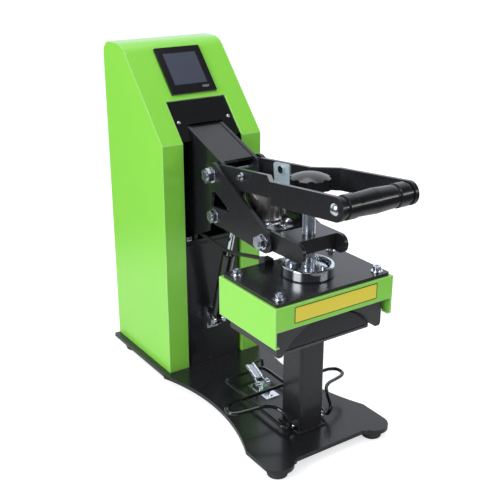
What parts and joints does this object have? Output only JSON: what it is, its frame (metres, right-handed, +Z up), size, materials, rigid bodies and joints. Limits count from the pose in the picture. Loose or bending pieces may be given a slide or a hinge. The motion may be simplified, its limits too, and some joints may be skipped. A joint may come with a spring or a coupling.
{
  "type": "cap heat press",
  "caption": "Free-standing clamshell heat press for caps: tower housing, curved heated platen on a hinged arm, cranked handle with a round magnet, gas spring, and a crowned lower pad.",
  "frame": {"origin": "centre of the whole press on the plane its rubber feet stand on", "axes": "+Z up; +Y from the handle at the front to the tower at the back; +X to the operator's right"},
  "size_m": [0.195, 0.5194, 0.482],
  "materials": {
    "green_paint": "glossy lime green powder coat",
    "black_paint": "satin black powder coat",
    "black_steel": "glossy black paint on wire and turned parts",
    "zinc": "bright zinc plate",
    "chrome": "polished chrome plate",
    "nickel": "matt nickel plate",
    "aluminium": "cast aluminium under a dark non-stick coat",
    "plain_aluminium": "mill finish aluminium",
    "rubber": "matt black silicone rubber",
    "black_plastic": "moulded black plastic",
    "screen_glass": "dark display glass",
    "circuit_board": "green circuit board",
    "insulation": "pressed mineral fibre"
  },
  "bodies": {
    "frame": {"base_plate": "black_paint", "rubber_feet": "rubber", "foot_screws": "zinc", "support_post": "black_paint", "lower_platen_plate": "plain_aluminium", "lower_platen_pad": "rubber", "tower_housing": "green_paint", "throat_plate": "black_paint", "column": "black_paint", "head_bracket": "black_paint", "head_bracket_bolts": "zinc", "controller_bezel": "black_plastic", "controller_screen": "screen_glass", "control_board": "circuit_board", "power_module": "plain_aluminium", "rear_cover": "black_paint", "power_inlet": "black_plastic", "power_switch": "black_plastic", "gas_spring_clevis": "zinc", "clevis_pin": "zinc", "heater_lead": "rubber", "tensioner_pivots": "zinc", "latch_base": "zinc", "latch_pin": "zinc"},
    "rocker": {"power_rocker": "black_plastic"},
    "arm": {"left_arm_plate": "black_paint", "right_arm_plate": "black_paint", "main_pivot_bolt": "zinc", "main_pivot_nut": "zinc", "spring_pin": "zinc", "elbow_bolts": "zinc", "yoke": "black_paint", "armature_plate": "zinc", "armature_bolts": "zinc", "guide_stud": "chrome", "screw_nut": "black_steel"},
    "handle": {"left_handle_bar": "black_paint", "right_handle_bar": "black_paint", "grip_collars": "black_plastic", "grip_screws": "zinc", "magnet_bracket": "zinc", "magnet_bracket_bolts": "zinc", "electromagnet": "nickel"},
    "grip": {"handle_grip": "black_plastic"},
    "platen": {"thrust_cup": "chrome", "thrust_retainer": "zinc", "platen_cover": "green_paint", "platen_top_plate": "black_paint", "platen_bolts": "zinc", "heater_block": "aluminium", "heater_rods": "zinc", "insulation_board": "insulation", "lead_relief": "black_plastic"},
    "screw": {"star_knob": "black_plastic", "pressure_screw": "zinc"},
    "spring_tube": {"gas_spring_tube": "black_steel"},
    "spring_rod": {"gas_spring_rod": "chrome"},
    "tensioner": {"tensioner_frame": "black_steel", "latch_loop": "black_steel"},
    "latch": {"latch_lever": "zinc"}
  },
  "joints": [
    {"name": "arm_lift", "type": "hinge", "parent": "frame", "child": "arm", "pos_m": [0, 0.0222, 0.33], "axis": [-1, 0, 0], "range_deg": [0, 35]},
    {"name": "handle_lift", "type": "hinge", "parent": "arm", "child": "handle", "pos_m": [0, 0.0222, 0.33], "axis": [-1, 0, 0], "range_deg": [0, 20]},
    {"name": "grip_spin", "type": "hinge", "parent": "handle", "child": "grip", "pos_m": [0, -0.24523, 0.35905], "axis": [1, 0, 0], "continuous": true},
    {"name": "platen_travel", "type": "slide", "parent": "arm", "child": "platen", "axis": [0, 0, 1], "range_m": [-0.001, 0.006]},
    {"name": "knob_turn", "type": "hinge", "parent": "platen", "child": "screw", "pos_m": [0, -0.1343, 0.35], "axis": [0, 0, 1], "range_deg": [-180, 1080]},
    {"name": "spring_swing", "type": "hinge", "parent": "frame", "child": "spring_tube", "pos_m": [-0.005, 0.0717, 0.092], "axis": [1, 0, 0], "range_deg": [-0.5, 7.5]},
    {"name": "spring_extend", "type": "slide", "parent": "spring_tube", "child": "spring_rod", "axis": [0, -0.2902, 0.957], "range_m": [-0.0005, 0.0225]},
    {"name": "tensioner_swing", "type": "hinge", "parent": "frame", "child": "tensioner", "pos_m": [0, -0.1383, 0.027], "axis": [1, 0, 0], "range_deg": [0, 25]},
    {"name": "latch_swing", "type": "hinge", "parent": "frame", "child": "latch", "pos_m": [0.004, -0.0323, 0.03], "axis": [1, 0, 0], "range_deg": [0, 80]},
    {"name": "rocker_tilt", "type": "hinge", "parent": "frame", "child": "rocker", "pos_m": [0.036, 0.2447, 0.046], "axis": [1, 0, 0], "range_deg": [-8, 8]}
  ],
  "couplings": [
    {"joint": "knob_turn", "follows": "platen_travel", "rad_per_m": 3141.6},
    {"joint": "spring_swing", "follows": "arm_lift", "ratio": 0.2086},
    {"joint": "spring_extend", "follows": "arm_lift", "m_per_rad": 0.036}
  ]
}
